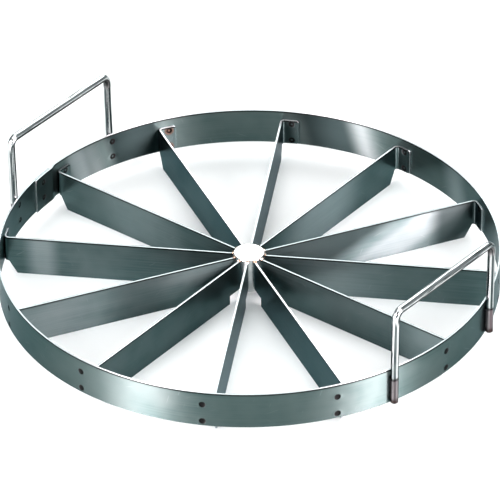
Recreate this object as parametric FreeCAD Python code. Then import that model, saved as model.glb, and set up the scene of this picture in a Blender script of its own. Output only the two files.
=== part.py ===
"""Cake portion marker: a stainless band, twelve radial blades, a hub and two rod handles.

The blades are pressed into the top of a cake to score twelve equal portions.
The frame is Z up, with the origin at the centre of the blades' lower edges,
on which the marker rests. Blade_01 lies along +X, and the handles stand across +X
and -X, each turned a little from it. All lengths are in millimetres and all angles in degrees.
"""
import FreeCAD, Part
import math
import os

from FreeCAD import Vector

# Band: a flat strip rolled into a circle, its ends lapped and spot welded
band_outer_radius = 130.0
band_height = 20.0
band_thickness = 1.0
lap_length = 14.0
lap_joggle_length = 4.5
lap_clearance = 0.08
lap_end_gap = 0.4
lap_to_blade_gap = 1.0
lap_blade = 7

# Blades: strips on edge, each folded at its outer end into a tab on the band
blade_count = 12
blade_height = 22.0
blade_thickness = 1.0
blade_drop = 7.0
blade_corner_cut = 4.2
hub_relief_radius = 17.0
hub_relief_height = 5.0
fold_inner_radius = 1.5
tab_reach = 9.5
tab_lift = 0.5
tab_corner_radius = 1.2

# Hub: a turned stud that the blades are welded round
hub_radius = 8.0
hub_rise = 1.2
hub_skirt = 1.6
hub_top_edge = 0.5

# Handles: two staples of bent rod, welded to the outside of the band
rod_diameter = 4.0
handle_height = 57.3
handle_leg_spacing = 78.2
handle_corner_radius = 4.0
handle_lean = 0.8
handle_knee_radius = 30.0
handle_foot_lift = 0.5
rod_end_chamfer = 0.5
front_handle_turn = -1.7
back_handle_turn = -0.4

# Welds: round electrode marks on the sheet, and beads where the blades meet the hub
weld_mark_diameter = 3.0
weld_mark_depth = 0.18
weld_mark_sides = 8
weld_edge_margin = 2.2
tab_weld_offset = 5.6
leg_weld_height = 6.1
leg_weld_spacing = 9.4
bead_leg = 1.0
bead_width = 2.2

# Fits
seat_clearance = 0.05
bead_clearance = 0.02

# Places worked out from the sizes above
UP = Vector(0, 0, 1)
CENTRE = Vector(0, 0, 0)
band_inner_radius = band_outer_radius - band_thickness
band_bottom = blade_drop
band_top = band_bottom + band_height
blade_pitch = 360.0 / blade_count
tab_outer_radius = band_inner_radius - seat_clearance
tab_inner_radius = tab_outer_radius - blade_thickness
tab_bottom = band_bottom + tab_lift
fold_y = -blade_thickness / 2 - fold_inner_radius
fold_x = math.sqrt((tab_inner_radius - fold_inner_radius) ** 2 - fold_y ** 2)
hub_bottom = hub_relief_height - hub_skirt
hub_top = blade_height + hub_rise
blade_inner_end = hub_radius + seat_clearance
rod_radius = rod_diameter / 2
leg_circle_radius = band_outer_radius + seat_clearance + rod_radius
leg_half_angle = math.degrees(math.asin(handle_leg_spacing / 2 / leg_circle_radius))
HANDLE_ANGLES = {"handle_front": front_handle_turn, "handle_back": 180 + back_handle_turn}


def polar(radius, angle, z=0.0):
    """A point at a radius and an angle about the Z axis."""
    turn = math.radians(angle)
    return Vector(radius * math.cos(turn), radius * math.sin(turn), z)


def arc_angle(length, radius):
    """The angle that a length of arc covers at a radius."""
    return math.degrees(length / radius)


def arc_about_axis(radius, start, end):
    """An arc about the Z axis, as an edge from the angle start to the angle end."""
    middle = (start + end) / 2
    return Part.Arc(polar(radius, start), polar(radius, middle), polar(radius, end)).toShape()


def line(start, end):
    """A straight edge between two points."""
    return Part.LineSegment(start, end).toShape()


def prism(edges, bottom, height):
    """A solid with a flat outline in plan, from the height bottom upwards."""
    outline = Part.Wire(Part.__sortEdges__(edges))
    outline.translate(UP * bottom)
    return Part.Face(outline).extrude(UP * height)


def turned(shape, angle):
    """A copy of a shape, turned about the Z axis."""
    copy = shape.copy()
    copy.rotate(CENTRE, UP, angle)
    return copy


def weld_mark(surface_radius, angle, z, from_outside):
    """The cutter for a shallow round electrode mark in a wall about the Z axis."""
    side = 1 if from_outside else -1
    floor = surface_radius - side * weld_mark_depth
    mark_radius = weld_mark_diameter / 2
    corners = []
    for step in range(weld_mark_sides + 1):
        turn = 2 * math.pi * step / weld_mark_sides
        across = mark_radius * math.cos(turn)
        corners.append(Vector(floor, across, z + mark_radius * math.sin(turn)))
    cutter = Part.Face(Part.makePolygon(corners)).extrude(Vector(side * 2 * weld_mark_depth, 0, 0))
    return turned(cutter, angle)


# Band

def lap_angles():
    """Where the lap's parts lie: joggle start and end, cut end outside, cut end inside."""
    blade_angle = (lap_blade - 1) * blade_pitch
    first_gap = blade_thickness / 2 + lap_to_blade_gap
    joggle_start = blade_angle + arc_angle(first_gap, band_inner_radius)
    joggle_end = joggle_start + arc_angle(lap_joggle_length, band_inner_radius)
    outside_end = joggle_end + arc_angle(lap_end_gap, band_inner_radius)
    inside_end = outside_end + arc_angle(lap_length, band_inner_radius)
    return joggle_start, joggle_end, outside_end, inside_end


def band_outline():
    """The strip seen from above: one full turn, then a joggle and the inner layer."""
    joggle_start, joggle_end, outside_end, inside_end = lap_angles()
    layer_outer = band_inner_radius - lap_clearance
    layer_inner = layer_outer - band_thickness
    turn_end = joggle_start + 360
    half_turn = (outside_end + turn_end) / 2
    return [
        arc_about_axis(band_outer_radius, outside_end, half_turn),
        arc_about_axis(band_outer_radius, half_turn, turn_end),
        line(polar(band_outer_radius, turn_end), polar(layer_outer, joggle_end)),
        arc_about_axis(layer_outer, joggle_end, inside_end),
        line(polar(layer_outer, inside_end), polar(layer_inner, inside_end)),
        arc_about_axis(layer_inner, joggle_end, inside_end),
        line(polar(layer_inner, joggle_end), polar(band_inner_radius, turn_end)),
        arc_about_axis(band_inner_radius, half_turn, turn_end),
        arc_about_axis(band_inner_radius, outside_end, half_turn),
        line(polar(band_inner_radius, outside_end), polar(band_outer_radius, outside_end)),
    ]


def tab_weld_heights():
    """The two heights of the marks on a tab, one near each of its ends."""
    return tab_bottom + weld_edge_margin, blade_height - weld_edge_margin


def tab_weld_angle(blade_number):
    """The angle of a blade's tab marks: on the clockwise side of the blade."""
    return (blade_number - 1) * blade_pitch - arc_angle(tab_weld_offset, band_inner_radius)


def leg_weld_heights():
    """The heights of the marks inside the band behind a handle leg."""
    low = band_bottom + leg_weld_height
    return low, low + leg_weld_spacing


def band_weld_marks():
    """All marks on the band: behind the tabs, behind the legs and on the lap."""
    marks = []
    for number in range(1, blade_count + 1):
        for z in tab_weld_heights():
            marks.append(weld_mark(band_outer_radius, tab_weld_angle(number), z, True))
    for handle_angle in HANDLE_ANGLES.values():
        for side in (-1, 1):
            for z in leg_weld_heights():
                leg_angle = handle_angle + side * leg_half_angle
                marks.append(weld_mark(band_inner_radius, leg_angle, z, False))
    outside_end, inside_end = lap_angles()[2:]
    lap_middle = (outside_end + inside_end) / 2
    layer_inner = band_inner_radius - lap_clearance - band_thickness
    for z in leg_weld_heights():
        marks.append(weld_mark(band_outer_radius, lap_middle, z, True))
        marks.append(weld_mark(layer_inner, lap_middle, z, False))
    return marks


def make_band():
    """The rolled strip with its lap and its weld marks."""
    strip = prism(band_outline(), band_bottom, band_height)
    return strip.cut(band_weld_marks())


# Blades

def blade_outline():
    """A blade and its tab seen from above, with the blade along +X."""
    half = blade_thickness / 2
    fold_centre = Vector(fold_x, fold_y, 0)
    meet_angle = math.degrees(math.atan2(fold_y, fold_x))
    middle_angle = (90 + meet_angle) / 2
    end_angle = -arc_angle(tab_reach, tab_outer_radius)
    edges = []
    for fold_radius, tab_radius, y in (
        (fold_inner_radius, tab_inner_radius, -half),
        (fold_inner_radius + blade_thickness, tab_outer_radius, half),
    ):
        fold_start = Vector(fold_x, y, 0)
        fold_middle = fold_centre + polar(fold_radius, middle_angle)
        fold_end = polar(tab_radius, meet_angle)
        edges.append(line(Vector(blade_inner_end, y, 0), fold_start))
        edges.append(Part.Arc(fold_start, fold_middle, fold_end).toShape())
        edges.append(arc_about_axis(tab_radius, meet_angle, end_angle))
    edges.append(line(polar(tab_inner_radius, end_angle), polar(tab_outer_radius, end_angle)))
    edges.append(line(Vector(blade_inner_end, -half, 0), Vector(blade_inner_end, half, 0)))
    return edges


def side_cut(points):
    """A cutter with its outline in the plane of a blade along +X, as wide as the tab."""
    outline = Part.makePolygon([Vector(x, 0, z) for x, z in points + points[:1]])
    width = tab_reach + blade_thickness
    outline.translate(Vector(0, -tab_reach - blade_thickness, 0))
    return Part.Face(outline).extrude(Vector(0, width + blade_thickness, 0))


def blade_cutters():
    """What is cut from the folded strip: the corner at the fold, the tab's foot, the hub relief."""
    below = -blade_thickness
    beyond = band_outer_radius + blade_thickness
    outer_corner = [
        (fold_x - blade_corner_cut, below),
        (fold_x - blade_corner_cut, 0),
        (fold_x, tab_bottom),
        (beyond, tab_bottom),
        (beyond, below),
    ]
    hub_relief = [
        (0, below),
        (0, hub_relief_height),
        (hub_relief_radius, hub_relief_height),
        (hub_relief_radius, below),
    ]
    return [side_cut(outer_corner), side_cut(hub_relief)]


def tab_corners(blade):
    """The upright edges' ends at the tab's free end: the corners to be rounded."""
    end_angle = -arc_angle(tab_reach, tab_outer_radius)
    middle_radius = (tab_inner_radius + tab_outer_radius) / 2
    corners = []
    for edge in blade.Edges:
        middle = edge.CenterOfMass
        spot = polar(middle_radius, end_angle, middle.z)
        across = abs(edge.Length - blade_thickness) < seat_clearance / 10
        if across and middle.distanceToPoint(spot) < seat_clearance / 10:
            corners.append(edge)
    return corners


def make_blade(number):
    """One blade with its folded tab, turned to its place."""
    strip = prism(blade_outline(), 0, blade_height)
    blade = strip.cut(blade_cutters())
    blade = blade.makeFillet(tab_corner_radius, tab_corners(blade))
    mark_angle = tab_weld_angle(1)
    marks = [weld_mark(tab_inner_radius, mark_angle, z, False) for z in tab_weld_heights()]
    return turned(blade.cut(marks), (number - 1) * blade_pitch)


# Hub

def make_hub():
    """The turned stud: a plain cylinder with its top edge broken."""
    profile = [
        (0, hub_bottom),
        (hub_radius, hub_bottom),
        (hub_radius, hub_top - hub_top_edge),
        (hub_radius - hub_top_edge, hub_top),
        (0, hub_top),
    ]
    outline = Part.makePolygon([Vector(x, 0, z) for x, z in profile + profile[:1]])
    return Part.Face(outline).revolve(CENTRE, UP, 360)


def make_bead():
    """A fillet bead on the top of blade_01's inner end, against the side of the hub."""
    bottom = blade_height + bead_clearance
    corner = Vector(blade_inner_end, -bead_width / 2, bottom)
    toe = corner + Vector(bead_leg, 0, 0)
    top = corner + UP * bead_leg
    bulge = math.sqrt(0.5) * bead_leg
    crown = corner + Vector(bulge, 0, bulge)
    edges = [line(corner, toe), Part.Arc(toe, crown, top).toShape(), line(top, corner)]
    return Part.Face(Part.Wire(edges)).extrude(Vector(0, bead_width, 0))


def make_hub_welds():
    """One bead for each blade."""
    bead = make_bead()
    return Part.makeCompound([turned(bead, number * blade_pitch) for number in range(blade_count)])


# Handles

def handle_path():
    """The centre line of the handle across +X: foot, knee, lean, corner, bar and back."""
    half_spacing = handle_leg_spacing / 2
    leg_x = math.sqrt(leg_circle_radius ** 2 - half_spacing ** 2)
    lean = math.radians(handle_lean)
    foot_z = band_bottom + handle_foot_lift
    bar_z = band_bottom + handle_height - rod_radius
    knee = Vector(leg_x, 0, band_top)
    out = Vector(math.sin(lean), 0, math.cos(lean))
    knee_centre = knee + Vector(handle_knee_radius, 0, 0)
    knee_middle = knee_centre - Vector(math.cos(lean / 2), 0, -math.sin(lean / 2)) * handle_knee_radius
    knee_end = knee_centre - Vector(math.cos(lean), 0, -math.sin(lean)) * handle_knee_radius
    top = knee_end + out * ((bar_z - knee_end.z) / out.z)
    corner_start = top - out * handle_corner_radius
    corner_chord = handle_corner_radius * (1 - math.sqrt(0.5))
    across = Vector(0, 1, 0)
    edges = []
    for side in (-1, 1):
        leg = across * (side * half_spacing)
        inward = across * -side
        corner_middle = top + leg + (inward - out) * corner_chord
        corner_end = top + leg + inward * handle_corner_radius
        edges.append(line(Vector(leg_x, leg.y, foot_z), knee + leg))
        edges.append(Part.Arc(knee + leg, knee_middle + leg, knee_end + leg).toShape())
        edges.append(line(knee_end + leg, corner_start + leg))
        edges.append(Part.Arc(corner_start + leg, corner_middle, corner_end).toShape())
    bar_half = half_spacing - handle_corner_radius
    edges.append(line(top - across * bar_half, top + across * bar_half))
    return Part.Wire(Part.__sortEdges__(edges))


def make_handle(angle):
    """One staple of bent rod with broken edges at its feet, turned to its place."""
    path = handle_path()
    foot = path.OrderedVertexes[0].Point
    section = Part.Face(Part.Wire(Part.makeCircle(rod_radius, foot, UP)))
    rod = path.makePipe(section)
    foot_edges = [edge for edge in rod.Edges if edge.BoundBox.ZMax < foot.z + seat_clearance]
    return turned(rod.makeChamfer(rod_end_chamfer, foot_edges), angle)


def write(name, shape):
    """Save one node as parts/NAME.step."""
    shape.exportStep(os.path.join("parts", name + ".step"))


def main():
    os.makedirs("parts", exist_ok=True)
    write("band", make_band())
    write("hub", make_hub())
    write("hub_welds", make_hub_welds())
    for number in range(1, blade_count + 1):
        write(f"blade_{number:02d}", make_blade(number))
    for name, angle in HANDLE_ANGLES.items():
        write(name, make_handle(angle))


main()
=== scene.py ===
"""The cake portion marker as it looks: rolled sheet, folded blades, bent rod and welds.

Lengths are in metres in the frame of the model: Z up, with blade_01 along +X.
"""
import math

import bmesh
import bpy
import numpy as np
from mathutils import Matrix, Vector


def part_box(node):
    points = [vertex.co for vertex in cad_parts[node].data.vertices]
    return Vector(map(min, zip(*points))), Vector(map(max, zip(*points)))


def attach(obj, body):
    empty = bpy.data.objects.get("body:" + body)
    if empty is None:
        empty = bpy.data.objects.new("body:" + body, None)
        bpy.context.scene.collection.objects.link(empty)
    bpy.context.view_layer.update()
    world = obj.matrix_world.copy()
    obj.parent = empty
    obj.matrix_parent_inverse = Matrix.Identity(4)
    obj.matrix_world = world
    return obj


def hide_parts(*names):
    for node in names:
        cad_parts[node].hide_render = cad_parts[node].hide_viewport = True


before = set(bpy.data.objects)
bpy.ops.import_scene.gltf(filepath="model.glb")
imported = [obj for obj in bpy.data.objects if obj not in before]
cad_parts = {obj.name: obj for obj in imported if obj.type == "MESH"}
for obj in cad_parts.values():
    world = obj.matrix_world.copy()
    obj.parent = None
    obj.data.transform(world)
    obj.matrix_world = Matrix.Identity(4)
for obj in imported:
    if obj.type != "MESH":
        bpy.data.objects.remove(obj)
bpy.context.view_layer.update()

MM = 0.001

# Sizes read from the frame
band_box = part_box("band")
blade_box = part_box("blade_01")
hub_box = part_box("hub")
handle_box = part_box("handle_front")
band_radius = round(band_box[1].y, 4)
band_bottom = round(band_box[0].z, 4)
band_top = round(band_box[1].z, 4)
blade_top = round(blade_box[1].z, 4)
blade_inner_end = round(blade_box[0].x, 5)
sheet = round(2 * blade_box[1].y, 5)
hub_radius = round(hub_box[1].x, 4)
hub_bottom = round(hub_box[0].z, 4)
hub_top = round(hub_box[1].z, 4)

# Sizes of the sheet work
seat_gap = 0.05 * MM
fold_inner_radius = 1.5 * MM
corner_cut = 4.2 * MM
tab_bottom = band_bottom + 0.5 * MM
tab_corner = 1.2 * MM
hub_relief_radius = 17 * MM
hub_relief_height = 5 * MM
edge_break = 0.11 * MM
BLADE_COUNT = 12
BLADE_NODES = [f"blade_{number:02d}" for number in range(1, BLADE_COUNT + 1)]

# Sizes of the rod
ROD_SIDES = 32
rod_radius = 2 * MM
leg_spacing = 78.2 * MM
handle_corner_radius = 4 * MM
handle_lean = math.radians(0.8)
handle_knee_radius = 30 * MM
rod_end_chamfer = 0.5 * MM
bar_height = round(handle_box[1].z, 4) - rod_radius
FRONT_HANDLE_ANGLE = math.radians(-1.7)
BACK_HANDLE_ANGLE = math.radians(179.6)
# Painted reflections: how many dark stripes run along each leg, and how far they are turned
LEG_REFLECTION_LINES = 5
LEG_REFLECTION_TURN = 4.1

# Welds
mark_radius = 1.5 * MM
mark_depth = 0.18 * MM
tab_mark_offset = 5.6 * MM
tab_mark_heights = (tab_bottom + 2.2 * MM, blade_top - 2.2 * MM)
leg_mark_heights = (band_bottom + 6.1 * MM, band_bottom + 15.5 * MM)
bead_leg = 1.0 * MM
bead_width = 2.2 * MM
bead_gap = 0.02 * MM

# The rows of the meshes beside an edge and about a spot weld
edge_row = 0.3 * MM
mark_reach = 2.1 * MM
mark_step = 0.32 * MM

# How far along the map of a sheet's second face is moved
FACE_SHIFT = 2.0

# Places worked out from the sizes
band_inner = band_radius - sheet
tab_outer = band_inner - seat_gap
tab_inner = tab_outer - sheet
fold_y = -sheet / 2 - fold_inner_radius
fold_x = math.sqrt((tab_inner - fold_inner_radius) ** 2 - fold_y ** 2)
tab_end_angle = math.asin(blade_box[0].y / tab_outer)
leg_circle = band_radius + seat_gap + rod_radius
leg_half_angle = math.asin(leg_spacing / 2 / leg_circle)

# The lap: angles of the joggle's ends and of the two cut ends
lap_blade_angle = math.pi
joggle_from_blade = 1 * MM
joggle_length = 4.5 * MM
lap_gap = 0.4 * MM
lap_length = 14 * MM
lap_clearance = 0.08 * MM
joggle_start = lap_blade_angle + (sheet / 2 + joggle_from_blade) / band_inner
joggle_end = joggle_start + joggle_length / band_inner
lap_outside_end = joggle_end + lap_gap / band_inner
lap_inside_end = lap_outside_end + lap_length / band_inner

# Colours of the sheet: darker and lighter tones, and what lies on them
BAND_TONES = ((0.046, 0.085, 0.082), (0.088, 0.130, 0.126))
BAND_EDGE_TINT = (0.56, 0.65, 0.68)
BLADE_TONES = ((0.048, 0.090, 0.090), (0.094, 0.140, 0.140))
BLADE_EDGE_TINT = (0.46, 0.54, 0.58)
BARE_STEEL = (0.57, 0.63, 0.64)
# Painted highlight: the colour of the lighter zones that stand in for lamp glows on the sheet
PAINTED_HIGHLIGHT_STEEL = (0.64, 0.76, 0.78)
# Painted dark reflection: the colour of the dark zones that stand in for shade mirrored in the sheet
PAINTED_DARK_REFLECTION_STEEL = (0.012, 0.022, 0.022)
WELD_HALO = (0.10, 0.060, 0.040)
WELD_SPOT = (0.004, 0.004, 0.004)
# Painted shade: a dark line just under the top edge of each face of the sheet
PAINTED_TOP_EDGE_SHADE = (0.008, 0.011, 0.011)

# Colours of the rod, of the hub and of the weld metal
# Painted reflections: the rod's dark and light tones, laid in stripes that stand in for reflected
# surroundings
ROD_PAINTED_REFLECTION_TONES = ((0.055, 0.075, 0.078), (0.74, 0.77, 0.77))
ROD_EDGE_TINT = (0.22, 0.26, 0.27)
ROD_CLOUD = (0.30, 0.33, 0.33)
ROD_NICK = (0.1, 0.11, 0.11)
# Painted shade: the near-black of the rod's underside
ROD_UNDERSIDE_PAINTED_SHADE = (0.012, 0.016, 0.016)
# The lower part of each leg: pinkish grey below the upper weld, darker in a band at that weld and darker
# towards the end
FOOT_TINT = (0.115, 0.098, 0.104)
FOOT_WELD_LINE_TONE = (0.020, 0.014, 0.016)
FOOT_END_TONE = (0.034, 0.022, 0.019)
HUB_TONES = ((0.50, 0.53, 0.53), (0.70, 0.72, 0.71))
WELD_STOPS = [(0.30, (0.06, 0.055, 0.06)), (0.48, (0.24, 0.19, 0.13)), (0.66, (0.56, 0.57, 0.55))]

# Zones of the sheet as (copy, start, end, slant, soft width, strength); the band is copy 0. The highlight
# zones are painted highlights, lighter base colour where lamps glow in the steel; the dark zones are
# painted dark reflections
BAND_PAINTED_HIGHLIGHTS = [
    (0, 3.185, 3.213, 0.3, 0.010, 0.16),
    (0, 3.023, 3.050, 0.3, 0.014, 0.12),
    (0, 2.956, 2.985, 0.3, 0.014, 0.22),
    (0, 3.196, 3.213, 0.3, 0.006, 0.16),
]
# Painted dark reflections on the band
BAND_PAINTED_DARK_REFLECTIONS = [
    (0, 3.146, 3.186, 0.3, 0.008, 1.00),
    (0, 3.035, 3.081, 0.3, 0.014, 1.00),
]
# Painted highlights on the blades
BLADES_PAINTED_HIGHLIGHTS = [
    (1, 2.000, 2.085, 0.0, 0.040, 0.18),
    (2, 2.046, 2.094, 2.0, 0.014, 0.13),
    (3, 2.010, 2.098, 0.6, 0.034, 0.24),
    (5, 2.102, 2.120, 0.0, 0.005, 0.16),
    (6, 0.030, 0.096, 0.5, 0.024, 0.09),
    (7, 0.098, 0.120, 0.0, 0.009, 0.18),
    (8, 0.070, 0.140, 0.0, 0.050, 0.12),
    (11, 0.010, 0.150, 0.0, 0.020, 0.07),
]
# Painted dark reflections on the blades
BLADES_PAINTED_DARK_REFLECTIONS = [
    (0, 2.040, 2.110, 0.0, 0.020, 0.40),
    (2, 1.950, 2.048, 2.0, 0.020, 0.90),
    (2, 2.098, 2.140, 0.0, 0.012, 0.85),
    (4, 1.990, 2.140, 0.0, 0.010, 0.60),
    (8, 0.034, 0.086, 0.0, 0.022, 0.56),
]
SCORCHED_COPY = 5

# The part of the sheet's reflection that is brushed, not a mirror's
BRUSHED_SHARE = 0.6

# Lamps as (name, azimuth, elevation, distance, width, height, radiance, colour, lights the floor)
WHITE = (1, 1, 1)
ROSY = (1.0, 0.71, 0.74)
LAMPS = [
    ("right_softbox", 3, 22, 1.3, 0.5, 0.8, 12.0, WHITE, True),
    ("left_softbox", -101, 22, 1.3, 0.5, 0.8, 12.0, WHITE, True),
    ("right_gleam", 0, 26, 1.4, 0.36, 0.9, 118.0, ROSY, False),
    ("left_gleam", -97, 26, 1.4, 0.36, 0.9, 118.0, ROSY, False),
    ("back_softbox", 128, 42, 1.6, 1.3, 0.9, 4.0, WHITE, True),
    ("top_softbox", 0, 90, 1.9, 1.6, 1.6, 2.6, WHITE, True),
]

# The room's colours as (height, colour), from the horizon to overhead
ROOM_STOPS = [
    (0.0, (0.85, 0.86, 0.86)),
    (0.06, (0.80, 0.82, 0.82)),
    (0.16, (0.24, 0.28, 0.29)),
    (0.55, (0.20, 0.23, 0.24)),
    (1.0, (0.55, 0.58, 0.58)),
]


class Wire:
    """A socket of a node tree, for sums written as Python expressions."""

    def __init__(self, tree, socket):
        self.tree = tree
        self.socket = socket

    def math(self, operation, *terms):
        return node(self.tree, "ShaderNodeMath", {"operation": operation}, dict(enumerate(terms)))

    def of(self, operation):
        """A function of this socket alone, such as its sine."""
        return self.math(operation, self)

    def axis(self, name):
        """One of the three numbers of this vector."""
        return node(self.tree, "ShaderNodeSeparateXYZ", None, {0: self}, output=name)

    def __add__(self, other):
        return self.math("ADD", self, other)

    def __radd__(self, other):
        return self.math("ADD", other, self)

    def __sub__(self, other):
        return self.math("SUBTRACT", self, other)

    def __rsub__(self, other):
        return self.math("SUBTRACT", other, self)

    def __mul__(self, other):
        return self.math("MULTIPLY", self, other)

    def __rmul__(self, other):
        return self.math("MULTIPLY", other, self)

    def __truediv__(self, other):
        return self.math("DIVIDE", self, other)


def node(tree, kind, settings=None, values=None, output=0):
    """Adds a node, sets its settings, then its sockets' values or links, and gives one output."""
    made = tree.nodes.new(kind)
    for key, value in (settings or {}).items():
        if key == "stops":
            set_stops(made.color_ramp, value)
        else:
            setattr(made, key, value)
    for key, value in (values or {}).items():
        socket = made.inputs[key]
        if isinstance(value, Wire):
            tree.links.new(value.socket, socket)
        else:
            socket.default_value = value
    return Wire(tree, made.outputs[output]) if len(made.outputs) else None


def set_stops(ramp, stops):
    """Gives a colour ramp its stops, as (place, colour) or (place, grey)."""
    while len(ramp.elements) < len(stops):
        ramp.elements.new(1.0)
    for element, (place, colour) in zip(ramp.elements, stops):
        grey = isinstance(colour, (int, float))
        element.position = place
        element.color = (colour, colour, colour, 1) if grey else (*colour, 1)


def smooth_step(value, start, end):
    """0 before start, 1 after end, and a smooth rise between them."""
    values = {"Value": value, "From Min": start, "From Max": end}
    return node(value.tree, "ShaderNodeMapRange", {"interpolation_type": "SMOOTHSTEP"}, values)


def mix_colour(factor, first, second):
    """A colour between two colours, each a link or three numbers."""
    settings = {"data_type": "RGBA"}
    values = {"Factor": factor, 6: colour_value(first), 7: colour_value(second)}
    return node(factor.tree, "ShaderNodeMix", settings, values, output=2)


def colour_value(colour):
    """A link as it is, or three numbers with an alpha of 1."""
    return colour if isinstance(colour, Wire) else (*colour, 1)


def noise(vector, scale, detail=2.0, roughness=0.5):
    """Noise from 0 to 1 on a vector link."""
    values = {"Vector": vector, "Scale": scale, "Detail": detail, "Roughness": roughness}
    return node(vector.tree, "ShaderNodeTexNoise", {"noise_dimensions": "3D"}, values)


def stretched(vector, across, turn=0.0):
    """A vector link turned about Z and scaled by three numbers."""
    values = {"Vector": vector, "Rotation": (0, 0, turn), "Scale": across}
    return node(vector.tree, "ShaderNodeMapping", {"vector_type": "TEXTURE"}, values)


def object_place(tree):
    """The place of a point in the frame of its object."""
    return node(tree, "ShaderNodeTexCoord", None, None, output="Object")


def strip_map(tree):
    """The place of a point on a strip laid flat."""
    return node(tree, "ShaderNodeUVMap", {"uv_map": "strip"})


def stored(tree, name):
    """A number that a mesh keeps."""
    return node(tree, "ShaderNodeAttribute", {"attribute_name": name}, output="Fac")


def bumped(height, strength, distance):
    """The normal of a surface with fine relief."""
    values = {"Height": height, "Strength": strength, "Distance": distance}
    return node(height.tree, "ShaderNodeBump", None, values)


def new_material(name):
    """An empty material and its node tree."""
    material = bpy.data.materials.new(name)
    material.use_nodes = True
    material.node_tree.nodes.clear()
    return material, material.node_tree


def finish_material(tree, constants, links):
    """Ends a tree in a Principled shader with constant sockets and linked sockets."""
    shader = node(tree, "ShaderNodeBsdfPrincipled", None, {**constants, **links})
    node(tree, "ShaderNodeOutputMaterial", None, {"Surface": shader})


# Materials

def grain_height(strip):
    """The fine lines that rolling and polishing leave along a strip."""
    fine = noise(stretched(strip, (0.030, 0.00028, 1)), 1.0, 3.0, 0.6)
    coarse = noise(stretched(strip, (0.055, 0.0011, 1)), 1.0, 2.0, 0.5)
    return fine * 0.45 + coarse * 0.55


def scratches(strip):
    """Thin stray scratches at three slants, 1 on a scratch."""
    slants = ((0.35, 0.020, 0.0009), (-0.6, 0.014, 0.0012), (1.25, 0.010, 0.0010))
    total = 0
    for turn, length, width in slants:
        lines = noise(stretched(strip, (length, width, 1), turn), 1.0, 1.0)
        total = total + smooth_step(lines, 0.735, 0.78)
    return total


def on_copy(share, copy):
    """1 on one copy of a ring and 0 on the others."""
    return 1 - smooth_step((share - copy / BLADE_COUNT).of("ABSOLUTE"), 0.02, 0.04)


def zone_share(share, along, height, zones):
    """How far a point lies in zones of the sheet, from 0 to each zone's strength."""
    total = 0
    for copy, start, end, slant, soft, strength in zones:
        place = along - height * slant
        rise = smooth_step(place, start, start + soft)
        fall = 1 - smooth_step(place, end - soft, end)
        total = total + on_copy(share, copy) * rise * fall * strength
    return total


def sheet_steel(name, top, tones, edge_tint, brushing, painted_highlights, painted_dark_reflections, scorched=None):
    """Bright rolled sheet with a grain along it, dark weld spots and bare cut edges.

    The surface is part mirror and part brushed along the strip. Painted highlights and painted dark
    reflections lie in zones on some copies, and a painted shade line runs under the top edge.
    """
    material, tree = new_material(name)
    dark, light = tones
    strip = strip_map(tree)
    along = strip.axis("X")
    height = strip.axis("Y")
    place = object_place(tree)
    weld = stored(tree, "weld_distance")
    edge = stored(tree, "cut_edge")
    share = stored(tree, "copy_share")
    grain = grain_height(strip)
    scratched = scratches(strip)
    cloud = noise(place, 28.0, 3.0, 0.55)
    body = mix_colour(smooth_step(cloud, 0.3, 0.7), dark, light)
    body = mix_colour(smooth_step(grain, 0.38, 0.62) * 0.5, body, light)
    body = mix_colour(scratched * 0.06, body, BARE_STEEL)
    # Painted highlights: the zones' lighter base colour stands in for lamps glowing in the steel
    bright = zone_share(share, along, height, painted_highlights) * (0.75 + grain * 0.5)
    body = mix_colour(bright, body, PAINTED_HIGHLIGHT_STEEL)
    # Painted dark reflections: the dark zones stand in for shade mirrored in the steel
    body = mix_colour(zone_share(share, along, height, painted_dark_reflections), body, PAINTED_DARK_REFLECTION_STEEL)
    ragged = weld + (noise(place, 520.0, 2.0) - 0.5) * (0.7 * MM)
    second_face = smooth_step(along, FACE_SHIFT - 0.4, FACE_SHIFT - 0.2)
    centre = 1 - smooth_step(ragged, 0.4 * MM, 0.8 * MM)
    spot = (1 - smooth_step(ragged, 1.45 * MM, 2.1 * MM)) * (1 - centre * second_face * 0.8)
    if scorched is not None:
        halo = (1 - smooth_step(ragged, 1.8 * MM, 3.4 * MM)) * on_copy(share, scorched)
        body = mix_colour(halo * 0.85, body, WELD_HALO)
    body = mix_colour(spot * 0.96, body, WELD_SPOT)
    # Painted shade: a dark line just under the top edge, on the faces but not on the cut edges
    painted_edge_shade = smooth_step(height, top - 1.15 * MM, top - 0.75 * MM) * (1 - edge)
    body = mix_colour(painted_edge_shade * 0.85, body, PAINTED_TOP_EDGE_SHADE)
    worn = smooth_step(noise(strip, 55.0, 3.0), 0.32, 0.62)
    body = mix_colour(edge * (0.35 + worn * 0.6), body, BARE_STEEL)
    bump = bumped(grain + scratched * 0.2, 0.22, 0.06 * MM)
    brushed_rough = brushing + (grain - 0.5) * 0.20 + (cloud - 0.5) * 0.10 + spot * 0.2
    mirror_rough = 0.20 + (grain - 0.5) * 0.12 + (cloud - 0.5) * 0.10 + spot * 0.4
    values = {"Metallic": 1.0, "Anisotropic": 0.95, "Anisotropic Rotation": 0.25}
    values["Specular Tint"] = (*edge_tint, 1)
    values.update({"Base Color": body, "Roughness": brushed_rough, "Normal": bump})
    brushed = node(tree, "ShaderNodeBsdfPrincipled", None, values)
    values.update({"Anisotropic": 0.6, "Roughness": mirror_rough})
    mirror = node(tree, "ShaderNodeBsdfPrincipled", None, values)
    both = node(tree, "ShaderNodeMixShader", None, {0: BRUSHED_SHARE, 1: mirror, 2: brushed})
    node(tree, "ShaderNodeOutputMaterial", None, {"Surface": both})
    return material


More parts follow.
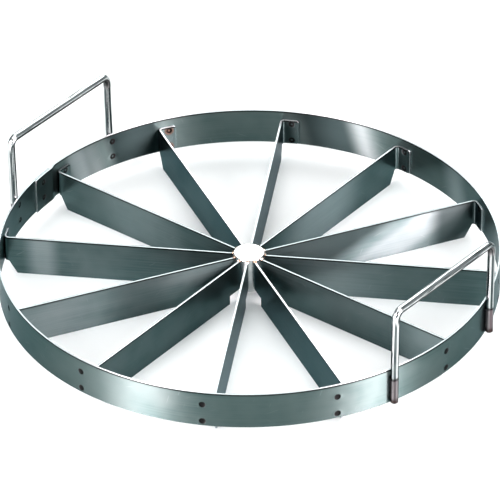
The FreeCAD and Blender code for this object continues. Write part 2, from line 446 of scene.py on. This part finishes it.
def rod_steel():
    """Polished drawn rod: nearly a mirror, with painted reflections as light and dark stripes along it,
    painted shade on its underside, and a pinkish-grey lower part at its feet, darker at the upper weld
    and at the end.
    """
    material, tree = new_material("polished_rod")
    strip = strip_map(tree)
    place = object_place(tree)
    height = place.axis("Z")
    weld_height = leg_mark_heights[1]
    around = strip.axis("Y") / rod_radius
    across = around.of("SINE")
    values = {"X": around.of("COSINE"), "Y": across, "Z": strip.axis("X") * 14.0}
    streak_place = node(tree, "ShaderNodeCombineXYZ", None, values)
    broad = noise(streak_place, 2.1, 2.0, 0.55)
    lines = noise(streak_place, 6.5, 3.0, 0.65)
    cloud = noise(place, 60.0, 3.0)
    nicks = smooth_step(noise(place, 900.0, 1.0), 0.70, 0.78)
    on_bar = smooth_step(height, bar_height - 8 * MM, bar_height - 4 * MM)
    # Painted reflections: light and dark stripes along the legs, and on the bar a pattern slightly
    # lighter on its upper side
    wave = (around * LEG_REFLECTION_LINES + LEG_REFLECTION_TURN + (broad - 0.5) * 2.4).of("COSINE")
    leg_painted_reflection = 1 - smooth_step(wave, -0.25, 0.15)
    upper = 1 - smooth_step(across, -0.70, -0.30)
    bar_painted_reflection = smooth_step(broad * 0.6 + lines * 0.4 + upper * 0.07, 0.46, 0.55)
    bright = bar_painted_reflection * on_bar + leg_painted_reflection * (1 - on_bar)
    body = mix_colour(bright, *ROD_PAINTED_REFLECTION_TONES)
    body = mix_colour(smooth_step(cloud, 0.4, 0.7) * 0.3, body, ROD_CLOUD)
    body = mix_colour(nicks * 0.4, body, ROD_NICK)
    # Painted shade: the underside of the bar, and more faintly of the legs, made nearly black; it is also
    # rougher there
    under = smooth_step(across, -0.10, 0.15) * (on_bar * 0.8 + 0.2)
    body = mix_colour(under * 0.88, body, ROD_UNDERSIDE_PAINTED_SHADE)
    ragged = height + (noise(place, 420.0, 2.0) - 0.5) * (2.4 * MM)
    # Below the upper weld the leg turns pinkish grey, with darker bands at the weld and at the end
    foot = 1 - smooth_step(ragged, weld_height - 1 * MM, weld_height)
    body = mix_colour(foot * 0.80, body, FOOT_TINT)
    weld_line_band = 1 - smooth_step((ragged - weld_height).of("ABSOLUTE"), 0.3 * MM, 1.3 * MM)
    body = mix_colour(weld_line_band * 0.85, body, FOOT_WELD_LINE_TONE)
    foot_end_band = 1 - smooth_step(ragged, band_bottom + 2 * MM, band_bottom + 5 * MM)
    body = mix_colour(foot_end_band * 0.85, body, FOOT_END_TONE)
    rough = 0.12 + (lines - 0.5) * 0.12 + (cloud - 0.5) * 0.08 + nicks * 0.15 + under * 0.4 + foot * 0.2
    bump = bumped(lines, 0.08, 0.05 * MM)
    constants = {"Metallic": 1.0, "Specular Tint": (*ROD_EDGE_TINT, 1)}
    finish_material(tree, constants, {"Base Color": body, "Roughness": rough, "Normal": bump})
    return material


def hub_steel():
    """A faced stud: rings of the turning tool on its top and fine lines on its side."""
    material, tree = new_material("turned_hub")
    place = object_place(tree)
    plan = node(tree, "ShaderNodeVectorMath", {"operation": "MULTIPLY"}, {0: place, 1: (1, 1, 0)})
    reach = node(tree, "ShaderNodeVectorMath", {"operation": "LENGTH"}, {0: plan}, output="Value")
    rings = node(tree, "ShaderNodeCombineXYZ", None, {"X": reach, "Y": place.axis("Z")})
    lines = noise(rings, 3200.0, 2.0)
    cloud = noise(place, 180.0, 3.0)
    body = mix_colour(smooth_step(cloud, 0.3, 0.7), *HUB_TONES)
    rough = 0.22 + (lines - 0.5) * 0.16 + (cloud - 0.5) * 0.12
    bump = bumped(lines, 0.15, 0.05 * MM)
    finish_material(tree, {"Metallic": 1.0}, {"Base Color": body, "Roughness": rough, "Normal": bump})
    return material


def weld_steel():
    """Weld metal: rippled, part bright and part tinted by the heat."""
    material, tree = new_material("weld_bead_metal")
    place = object_place(tree)
    tint = noise(place, 520.0, 3.0, 0.6)
    fine = noise(place, 2600.0, 3.0, 0.6)
    body = node(tree, "ShaderNodeValToRGB", {"stops": WELD_STOPS}, {"Fac": tint})
    rough = 0.30 + (fine - 0.5) * 0.3
    bump = bumped(fine, 0.35, 0.1 * MM)
    finish_material(tree, {"Metallic": 1.0}, {"Base Color": body, "Roughness": rough, "Normal": bump})
    return material


def floor_paper():
    """A plain pale floor with the faintest unevenness."""
    material, tree = new_material("pale_floor")
    cloud = noise(object_place(tree), 2.5, 2.0)
    body = mix_colour(cloud, (0.90, 0.90, 0.90), (0.93, 0.93, 0.93))
    finish_material(tree, {"Roughness": 0.9, "Specular IOR Level": 0.1}, {"Base Color": body})
    return material


# Meshes

def new_piece(name, vertices, faces):
    """An object with a mesh in the frame of the model."""
    mesh = bpy.data.meshes.new(name)
    mesh.from_pydata([tuple(v) for v in vertices], [], faces)
    piece = bpy.data.objects.new(name, mesh)
    bpy.context.scene.collection.objects.link(piece)
    return piece


def store(mesh, name, domain, values):
    """Keeps one number for each point or face of a mesh."""
    attribute = mesh.attributes.new(name, "FLOAT", domain)
    attribute.data.foreach_set("value", np.asarray(values, np.float32))


def store_strip_map(mesh, points):
    """The map of a strip laid flat, in metres: along it and across it."""
    corners = np.zeros(len(mesh.loops), np.int32)
    mesh.loops.foreach_get("vertex_index", corners)
    layer = mesh.uv_layers.new(name="strip")
    layer.data.foreach_set("uv", np.asarray(points, np.float32)[corners].ravel())


def close_seam(mesh, full):
    """Carries the strip map of a tube over its seam, where it would jump back to 0."""
    layer = mesh.uv_layers["strip"].data
    for face in mesh.polygons:
        corners = [layer[k] for k in face.loop_indices]
        across = [corner.uv.y for corner in corners]
        if len(corners) == 4 and max(across) - min(across) > full / 2:
            for corner in corners:
                if corner.uv.y < full / 2:
                    corner.uv.y += full


def shade_smooth(mesh, angle=math.radians(42)):
    """Smooth shading, apart from edges sharper than an angle."""
    mesh.polygons.foreach_set("use_smooth", [True] * len(mesh.polygons))
    mesh.set_sharp_from_angle(angle=angle)


def graded(start, end, step, fine_places, fine_reach, fine_step):
    """Places from start to end: a step apart, and finer within a reach of some places."""
    places = set(np.linspace(start, end, max(2, round((end - start) / step) + 1)).tolist())
    for centre in fine_places:
        near = np.arange(-fine_reach, fine_reach + fine_step / 2, fine_step) + centre
        places.update(near[(near > start) & (near < end)].tolist())
    kept = []
    for place in sorted(places):
        if not kept or place - kept[-1] > 0.6 * fine_step or place == end:
            kept.append(place)
    return np.array(kept)


def eased(share):
    """A share from 0 to 1 with a soft start and a soft end."""
    return share * share * (3 - 2 * share)


def mark_shape(distance):
    """How deep the surface lies at a distance from the middle of a spot weld."""
    flat_radius, slope_width = 0.75 * mark_radius, 0.35 * mark_radius
    rim_radius, rim_width = 1.3 * mark_radius, 0.17 * mark_radius
    rim_height = 0.25 * mark_depth
    floor = eased(1 - np.clip((distance - flat_radius) / slope_width, 0, 1))
    rim = np.exp(-(((distance - rim_radius) / rim_width) ** 2))
    return mark_depth * floor - rim_height * rim


def sheet_piece(name, path, heights, low, top, marks, keep=None):
    """A strip on edge, between two lines in plan.

    path holds, for each station, the length along it and a point on each face.
    heights go from 0 at the lower edge to 1 at the top. marks are (face, length, z).
    """
    along, front, back = path
    count, rows = len(along), len(heights)
    z = low[:, None] + (top - low)[:, None] * heights[None, :]
    across = (front - back) / np.linalg.norm(front - back, axis=1)[:, None]
    nearest = np.full((count, rows), 1.0)
    sink = np.zeros((2, count, rows))
    for face, length, height in marks:
        distance = np.hypot(along[:, None] - length, z - height)
        nearest = np.minimum(nearest, distance)
        sink[face] += np.where(distance < 2 * mark_radius, mark_shape(distance), 0)
    points = np.zeros((2, count, rows, 3))
    for face, (line, side) in enumerate(((front, -1), (back, 1))):
        points[face, :, :, :2] = line[:, None, :] + side * sink[face][:, :, None] * across[:, None, :]
        points[face, :, :, 2] = z
    kept = np.ones((count - 1, rows - 1), bool) if keep is None else keep(along, z)
    faces, rims = sheet_faces(kept, count, rows)
    used = np.unique([corner for face in faces for corner in face])
    number = np.zeros(2 * count * rows, np.int64)
    number[used] = np.arange(len(used))
    piece = new_piece(name, points.reshape(-1, 3)[used], [[int(number[c]) for c in f] for f in faces])
    laid_flat = np.zeros((2, count, rows, 2))
    laid_flat[..., 0] = along[None, :, None] + np.array([0.0, FACE_SHIFT])[:, None, None]
    laid_flat[..., 1] = z[None]
    store_strip_map(piece.data, laid_flat.reshape(-1, 2)[used])
    store(piece.data, "weld_distance", "POINT", np.stack([nearest, nearest]).ravel()[used])
    store(piece.data, "cut_edge", "FACE", [0.0] * (len(faces) - rims) + [1.0] * rims)
    return piece


def sheet_faces(kept, count, rows):
    """The quads of both faces of a strip, then those of its rim, and how many the rim has."""
    def corner(face, i, j):
        return (face * count + i) * rows + j

    sides, rim = [], []
    filled = np.pad(kept, 1)
    for i, j in np.argwhere(kept):
        square = [(i, j), (i + 1, j), (i + 1, j + 1), (i, j + 1)]
        sides.append([corner(0, a, b) for a, b in square])
        sides.append([corner(1, a, b) for a, b in reversed(square)])
        beyond = [filled[i + 1, j], filled[i + 2, j + 1], filled[i + 1, j + 2], filled[i, j + 1]]
        for step, full in enumerate(beyond):
            if not full:
                a, b = square[step], square[(step + 1) % 4]
                rim.append([corner(0, *b), corner(0, *a), corner(1, *a), corner(1, *b)])
    return sides + rim, len(rim)


def orient_outwards(piece):
    """Turns all faces of a closed piece outwards."""
    work = bmesh.new()
    work.from_mesh(piece.data)
    bmesh.ops.recalc_face_normals(work, faces=work.faces)
    work.to_mesh(piece.data)
    work.free()


def break_edges(piece):
    """Rounds the sharp edges of a piece a little."""
    bevel = piece.modifiers.new("edge_break", "BEVEL")
    bevel.width = edge_break
    bevel.segments = 2
    bevel.limit_method = "ANGLE"
    bevel.angle_limit = math.radians(50)


def settled(piece, name):
    """A plain piece with the mesh that a piece's modifiers give."""
    bpy.context.view_layer.update()
    graph = bpy.context.evaluated_depsgraph_get()
    mesh = bpy.data.meshes.new_from_object(piece.evaluated_get(graph))
    mesh.name = name
    bpy.data.objects.remove(piece)
    plain = bpy.data.objects.new(name, mesh)
    bpy.context.scene.collection.objects.link(plain)
    shade_smooth(mesh)
    return plain


def loft(name, rings):
    """A closed piece through rings of points, with flat ends."""
    rings = np.asarray(rings, float)
    count, around = rings.shape[:2]
    faces = [list(range(around))[::-1], [(count - 1) * around + k for k in range(around)]]
    for i in range(count - 1):
        for k in range(around):
            following = (k + 1) % around
            low, high = i * around, (i + 1) * around
            faces.append([low + k, low + following, high + following, high + k])
    piece = new_piece(name, rings.reshape(-1, 3), faces)
    orient_outwards(piece)
    return piece


def circle(angles):
    """Points of a circle of radius 1 in plan."""
    return np.stack([np.cos(angles), np.sin(angles)], axis=-1)


# Repeats

def ring_tree():
    """Geometry nodes that repeat a piece about the Z axis at equal turns."""
    tree = bpy.data.node_groups.new("ring_of_copies", "GeometryNodeTree")
    face = tree.interface
    face.new_socket("Geometry", in_out="OUTPUT", socket_type="NodeSocketGeometry")
    face.new_socket("Geometry", in_out="INPUT", socket_type="NodeSocketGeometry")
    face.new_socket("Count", in_out="INPUT", socket_type="NodeSocketInt")
    face.new_socket("Material", in_out="INPUT", socket_type="NodeSocketMaterial")
    given = tree.nodes.new("NodeGroupInput")
    geometry, count, material = (Wire(tree, given.outputs[k]) for k in range(3))
    index = node(tree, "GeometryNodeInputIndex")
    share = index / count
    euler = node(tree, "ShaderNodeCombineXYZ", None, {"Z": share * (2 * math.pi)})
    turn = node(tree, "FunctionNodeEulerToRotation", None, {0: euler})
    spots = node(tree, "GeometryNodePoints", None, {"Count": count})
    values = {"Points": spots, "Instance": geometry, "Rotation": turn}
    copies = node(tree, "GeometryNodeInstanceOnPoints", None, values)
    settings = {"data_type": "FLOAT", "domain": "INSTANCE"}
    values = {"Geometry": copies, "Name": "copy_share", "Value": share}
    named = node(tree, "GeometryNodeStoreNamedAttribute", settings, values)
    real = node(tree, "GeometryNodeRealizeInstances", None, {"Geometry": named})
    values = {"Geometry": real, "Material": material}
    coated = node(tree, "GeometryNodeSetMaterial", None, values)
    node(tree, "NodeGroupOutput", None, {"Geometry": coated})
    return tree


def repeated(piece, name, count, material):
    """A plain piece made of copies of a piece about the Z axis."""
    tree = bpy.data.node_groups.get("ring_of_copies") or ring_tree()
    ring = piece.modifiers.new("ring", "NODES")
    ring.node_group = tree
    inputs = {item.name: item.identifier for item in tree.interface.items_tree if item.in_out == "INPUT"}
    ring[inputs["Count"]] = count
    ring[inputs["Material"]] = material
    return settled(piece, name)


# Pieces

def band_path():
    """The band in plan, from the cut end outside, once round and in under it at the lap."""
    turn = 2 * math.pi
    marks = band_mark_angles()
    places = [angle + shift for angle in marks for shift in (0, turn)]
    fine = 0.3 * MM / band_radius
    near = 2.3 * MM / band_radius
    start, end = lap_outside_end, lap_inside_end + turn
    angles = graded(start, end, 2.6 * MM / band_radius, places, near, fine)
    joggle = np.linspace(joggle_start + turn, joggle_end + turn, 9)
    ends = [start + edge_row / band_radius, end - edge_row / band_radius]
    angles = np.unique(np.round(np.concatenate([angles, joggle, ends]), 6))
    t = np.clip((angles - turn - joggle_start) / (joggle_end - joggle_start), 0, 1)
    inset = (sheet + lap_clearance) * eased(t)
    outward = circle(angles)
    outer = outward * (band_radius - inset)[:, None]
    inner = outward * (band_radius - sheet - inset)[:, None]
    return angles * band_radius, outer, inner


def band_mark_angles():
    """The angles, from 0 to a full turn, at which the band has spot welds."""
    pitch = 2 * math.pi / BLADE_COUNT
    angles = [number * pitch - tab_mark_offset / band_inner for number in range(BLADE_COUNT)]
    for middle in (FRONT_HANDLE_ANGLE, BACK_HANDLE_ANGLE):
        angles += [middle - leg_half_angle, middle + leg_half_angle]
    angles.append((lap_outside_end + lap_inside_end) / 2)
    return [angle % (2 * math.pi) for angle in angles]


def band_marks():
    """The spot welds of the band as (face, length along it, height): face 0 is the outside."""
    turn = 2 * math.pi
    angles = band_mark_angles()
    placed = []
    for number, angle in enumerate(angles):
        tab = number < BLADE_COUNT
        lap = number == len(angles) - 1
        for z in tab_mark_heights if tab else leg_mark_heights:
            at = angle if angle >= lap_outside_end else angle + turn
            if lap:
                placed.append((0, angle * band_radius, z))
                placed.append((1, (angle + turn) * band_radius, z))
            else:
                placed.append((0 if tab else 1, at * band_radius, z))
    return placed


def make_band(material):
    """The rolled band with its lap and its spot welds."""
    path = band_path()
    height = band_top - band_bottom
    levels = [z - band_bottom for z in (*tab_mark_heights, *leg_mark_heights)]
    rows = graded(0, height, 1.2 * MM, levels, mark_reach, mark_step)
    rows = np.unique(np.concatenate([rows, [edge_row, height - edge_row]])) / height
    low = np.full(len(path[0]), band_bottom)
    top = np.full(len(path[0]), band_top)
    piece = sheet_piece("band_strip", path, rows, low, top, band_marks())
    break_edges(piece)
    band = settled(piece, "band_strip")
    band.data.materials.append(material)
    return band


def blade_path():
    """A blade along +X in plan: straight, round the fold and along its tab."""
    straight = graded(blade_inner_end, fold_x, 3.4 * MM, [hub_relief_radius], 0.4 * MM, 0.4 * MM)
    ends = [blade_inner_end + edge_row, fold_x - corner_cut, fold_x - 0.5 * corner_cut, fold_x - edge_row]
    straight = np.unique(np.round(np.concatenate([straight, ends]), 7))
    half = sheet / 2
    left = np.stack([straight, np.full(len(straight), half)], axis=-1)
    right = np.stack([straight, np.full(len(straight), -half)], axis=-1)
    meet = math.atan2(fold_y, fold_x)
    steps = np.linspace(0, 1, 11)[1:]
    bend = np.linspace(math.pi / 2, meet, 11)[1:]
    centre = np.array([fold_x, fold_y])
    left_bend = centre + circle(bend) * (fold_inner_radius + sheet)
    right_bend = centre + circle(bend) * fold_inner_radius
    mark = -tab_mark_offset / band_inner
    step, reach, fine = 1.2 * MM / tab_outer, 2.2 * MM / tab_outer, mark_step / tab_outer
    tab = graded(tab_end_angle, meet, step, [mark], reach, fine)
    tab = np.unique(np.concatenate([tab, [tab_end_angle + edge_row / tab_outer]]))[::-1][1:]
    bend_length = (math.pi / 2 - meet) * (fold_inner_radius + half) * steps
    tab_length = (meet - tab) * (tab_outer - half)
    along = np.concatenate([straight, fold_x + bend_length, fold_x + bend_length[-1] + tab_length])
    front = np.concatenate([left, left_bend, circle(tab) * tab_outer])
    back = np.concatenate([right, right_bend, circle(tab) * tab_inner])
    mark_length = fold_x + bend_length[-1] + (meet - mark) * (tab_outer - half)
    return (along, front, back), mark_length


def blade_edges(along):
    """The heights of a blade's lower and upper edges: cut corner, tab and rounded tab corners."""
    cut = np.clip((along - (fold_x - corner_cut)) / corner_cut, 0, 1)
    low = tab_bottom * cut
    from_end = np.clip((tab_corner - (along[-1] - along)) / tab_corner, 0, 1)
    rounding = tab_corner * (1 - np.sqrt(1 - from_end ** 2))
    return low + rounding, blade_top - rounding


def blade_rows():
    """Heights across a blade, from 0 to 1, finer where its tab has spot welds."""
    tall = blade_top - tab_bottom
    marks = [(z - tab_bottom) / tall for z in tab_mark_heights]
    rows = graded(0, 1, 0.07, marks, mark_reach / tall, 0.34 * MM / tall)
    rows = np.concatenate([rows, [edge_row / blade_top, 1 - edge_row / blade_top]])
    return np.unique(np.append(rows, hub_relief_height / blade_top))


def outside_relief(along, z):
    """Which squares of a blade are there: all but those of the relief cut below at the hub."""
    middle_x = (along[:-1] + along[1:]) / 2
    middle_z = (z[:-1, :-1] + z[1:, 1:]) / 2
    return (middle_x[:, None] > hub_relief_radius) | (middle_z > hub_relief_height)


def make_blades(material):
    """Twelve folded blades."""
    path, mark_length = blade_path()
    low, top = blade_edges(path[0])
    marks = [(1, mark_length, z) for z in tab_mark_heights]
    piece = sheet_piece("blade_pattern", path, blade_rows(), low, top, marks, outside_relief)
    break_edges(piece)
    return repeated(piece, "blades", BLADE_COUNT, material)


def make_hub(material):
    """The turned stud, with its edges broken and its top faced."""
    around = np.linspace(0, 2 * math.pi, 97)[:-1]
    break_size = 0.5 * MM
    pole = 0.4 * MM
    profile = [(pole, hub_bottom), (hub_radius - break_size / 2, hub_bottom)]
    profile.append((hub_radius, hub_bottom + break_size / 2))
    profile += [(hub_radius, z) for z in np.linspace(hub_bottom + break_size, hub_top - break_size, 9)]
    for turn in np.linspace(0, math.pi / 2, 6)[1:]:
        radius = hub_radius - break_size + break_size * math.cos(turn)
        profile.append((radius, hub_top - break_size + break_size * math.sin(turn)))
    profile += [(hub_radius - 0.7 * MM, hub_top), (0.5 * hub_radius, hub_top), (pole, hub_top)]
    rings = []
    for radius, z in profile:
        plan = circle(around) * radius
        rings.append(np.column_stack([plan, np.full(len(plan), z)]))
    hub = loft("hub_stud", rings)
    shade_smooth(hub.data)
    hub.data.materials.append(material)
    return hub


def make_beads(material):
    """Twelve rippled fillet beads, on the blades' inner ends against the hub."""
    corner = np.array([blade_inner_end, 0, blade_top + bead_gap])
    turns = np.linspace(0, math.pi / 2, 9)
    ripple_height = 0.05
    rings = []
    for t in np.linspace(-1, 1, 25):
        ripple = 1 + ripple_height * math.sin(14 * t)
        leg = bead_leg * ripple * math.sqrt(max(0.04, 1 - 0.9 * t ** 4)) / (1 + ripple_height)
        arc = np.column_stack([np.cos(turns) * leg, np.zeros(len(turns)), np.sin(turns) * leg])
        ring = np.vstack([[0, 0, 0], arc]) + corner + np.array([0, t * bead_width / 2, 0])
        rings.append(ring)
    return repeated(loft("bead_pattern", rings), "hub_beads", BLADE_COUNT, material)


def handle_line():
    """The middle line of the handle across +X, with the rod's radius at each point."""
    half = leg_spacing / 2
    leg_x = math.sqrt(leg_circle ** 2 - half ** 2)
    foot_z = round(handle_box[0].z, 5)
    lean_in, lean_up = math.sin(handle_lean), math.cos(handle_lean)
    side = [(leg_x, foot_z), (leg_x, foot_z + rod_end_chamfer), (leg_x, foot_z + 0.9 * MM)]
    side += [(leg_x, z) for z in np.linspace(foot_z + 3 * MM, band_top, 8)]
    for turn in np.linspace(0, handle_lean, 9)[1:]:
        shift = handle_knee_radius * (1 - math.cos(turn))
        side.append((leg_x + shift, band_top + handle_knee_radius * math.sin(turn)))
    knee_x, knee_z = side[-1]
    top_x = knee_x + (bar_height - knee_z) * lean_in / lean_up
    start_x = top_x - handle_corner_radius * lean_in
    start_z = bar_height - handle_corner_radius * lean_up
    for share in np.linspace(0, 1, 12)[1:]:
        side.append((knee_x + (start_x - knee_x) * share, knee_z + (start_z - knee_z) * share))
    leg = [Vector((x, -half, z)) for x, z in side]
    for turn in np.linspace(0, math.pi / 2, 15)[1:]:
        rise = handle_corner_radius * math.sin(turn)
        inward = handle_corner_radius * (1 - math.cos(turn))
        leg.append(Vector((start_x + rise * lean_in, -half + inward, start_z + rise * lean_up)))
    bar = [Vector((top_x, y, bar_height)) for y in np.linspace(leg[-1].y, -leg[-1].y, 26)[1:-1]]
    other = [Vector((p.x, -p.y, p.z)) for p in reversed(leg)]
    points = leg + bar + other
    radii = [rod_radius] * len(points)
    radii[0] = radii[-1] = rod_radius - rod_end_chamfer
    return points, radii


def make_handle(name, angle, material):
    """A staple of bent rod, turned to its place."""
    points, radii = handle_line()
    around = np.linspace(0, 2 * math.pi, ROD_SIDES + 1)[:-1]
    rings, lengths, length = [], [], 0.0
    outward = Vector((math.cos(handle_lean), 0, -math.sin(handle_lean)))
    for number, (point, radius) in enumerate(zip(points, radii)):
        before = points[max(number - 1, 0)]
        after = points[min(number + 1, len(points) - 1)]
        ahead = (after - before).normalized()
        side = ahead.cross(outward).normalized()
        out = side.cross(ahead).normalized()
        if number:
            length += (point - before).length
        lengths += [length] * len(around)
        rings.append([point + (out * math.cos(a) + side * math.sin(a)) * radius for a in around])
    piece = loft(name, rings)
    laid_flat = np.column_stack([lengths, np.tile(around * rod_radius, len(points))])
    store_strip_map(piece.data, laid_flat)
    close_seam(piece.data, 2 * math.pi * rod_radius)
    shade_smooth(piece.data)
    piece.data.transform(Matrix.Rotation(angle, 4, "Z"))
    piece.data.materials.append(material)
    return piece


def dress(piece, slot, *nodes):
    """Lets a piece stand for nodes of the model."""
    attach(piece, "root")
    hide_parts(*nodes)


# Stage

def direction(azimuth, elevation):
    """The direction from the origin at an azimuth about Z and an elevation, in degrees."""
    turn, rise = math.radians(azimuth), math.radians(elevation)
    return Vector((math.cos(turn) * math.cos(rise), math.sin(turn) * math.cos(rise), math.sin(rise)))


def softbox(name, azimuth, elevation, distance, width, height, radiance, colour, lights_floor):
    """A rectangular lamp that faces the origin; the steel reflects it even if it lights no floor."""
    lamp = bpy.data.lights.new(name, "AREA")
    lamp.shape = "RECTANGLE"
    lamp.size, lamp.size_y = width, height
    lamp.energy = radiance * math.pi * width * height
    lamp.color = colour
    holder = bpy.data.objects.new(name, lamp)
    bpy.context.scene.collection.objects.link(holder)
    toward = direction(azimuth, elevation)
    holder.location = toward * distance
    holder.rotation_euler = toward.to_track_quat("Z", "Y").to_euler()
    holder.visible_diffuse = lights_floor


def make_floor(material):
    """The floor on which the marker stands."""
    reach = 12.0
    corners = [(-reach, -reach, 0), (reach, -reach, 0), (reach, reach, 0), (-reach, reach, 0)]
    floor = new_piece("floor", corners, [(0, 1, 2, 3)])
    floor.data.materials.append(material)


def make_world():
    """A soft grey room, pale at the horizon where it meets the floor."""
    world = bpy.data.worlds.new("room")
    bpy.context.scene.world = world
    world.use_nodes = True
    tree = world.node_tree
    tree.nodes.clear()
    toward = node(tree, "ShaderNodeTexCoord", None, None, output="Generated")
    rise = toward.axis("Z")
    colour = node(tree, "ShaderNodeValToRGB", {"stops": ROOM_STOPS}, {"Fac": rise})
    glow = node(tree, "ShaderNodeBackground", None, {"Color": colour, "Strength": 0.9})
    node(tree, "ShaderNodeOutputWorld", None, {"Surface": glow})


def make_camera():
    """The camera at the photograph's place."""
    azimuth, elevation = 38.2, 34.86
    distance, lens, sensor = 2.455, 340.8, 36.0
    aim = Vector((0, 0, band_bottom))
    picture_side = 500
    aim_pixel = (249.37, 277.72)
    roll = math.radians(0.64)
    data = bpy.data.cameras.new("camera")
    data.lens, data.sensor_width = lens, sensor
    data.shift_x = 0.5 - aim_pixel[0] / picture_side
    data.shift_y = aim_pixel[1] / picture_side - 0.5
    data.clip_start, data.clip_end = 0.05, 60.0
    camera = bpy.data.objects.new("camera", data)
    bpy.context.scene.collection.objects.link(camera)
    toward = direction(azimuth - 90, elevation)
    camera.location = aim + toward * distance
    facing = toward.to_track_quat("Z", "Y").to_matrix().to_4x4()
    camera.rotation_euler = (facing @ Matrix.Rotation(-roll, 4, "Z")).to_euler()
    bpy.context.scene.camera = camera


def main():
    """Makes the pieces in their steels, then the stage."""
    band_steel = sheet_steel(
        "band_sheet", band_top, BAND_TONES, BAND_EDGE_TINT, 0.50, BAND_PAINTED_HIGHLIGHTS, BAND_PAINTED_DARK_REFLECTIONS)
    blade_steel = sheet_steel(
        "blade_sheet", blade_top, BLADE_TONES, BLADE_EDGE_TINT, 0.40, BLADES_PAINTED_HIGHLIGHTS, BLADES_PAINTED_DARK_REFLECTIONS,
        SCORCHED_COPY)
    rod = rod_steel()
    dress(make_band(band_steel), "band_steel", "band")
    dress(make_blades(blade_steel), "blade_steel", *BLADE_NODES)
    dress(make_hub(hub_steel()), "hub_steel", "hub")
    dress(make_beads(weld_steel()), "weld_steel", "hub_welds")
    dress(make_handle("front_handle_rod", FRONT_HANDLE_ANGLE, rod), "rod_steel", "handle_front")
    dress(make_handle("back_handle_rod", BACK_HANDLE_ANGLE, rod), "rod_steel", "handle_back")
    make_floor(floor_paper())
    make_world()
    for lamp in LAMPS:
        softbox(*lamp)
    make_camera()
    bpy.context.scene.view_settings.view_transform = "Standard"


main()
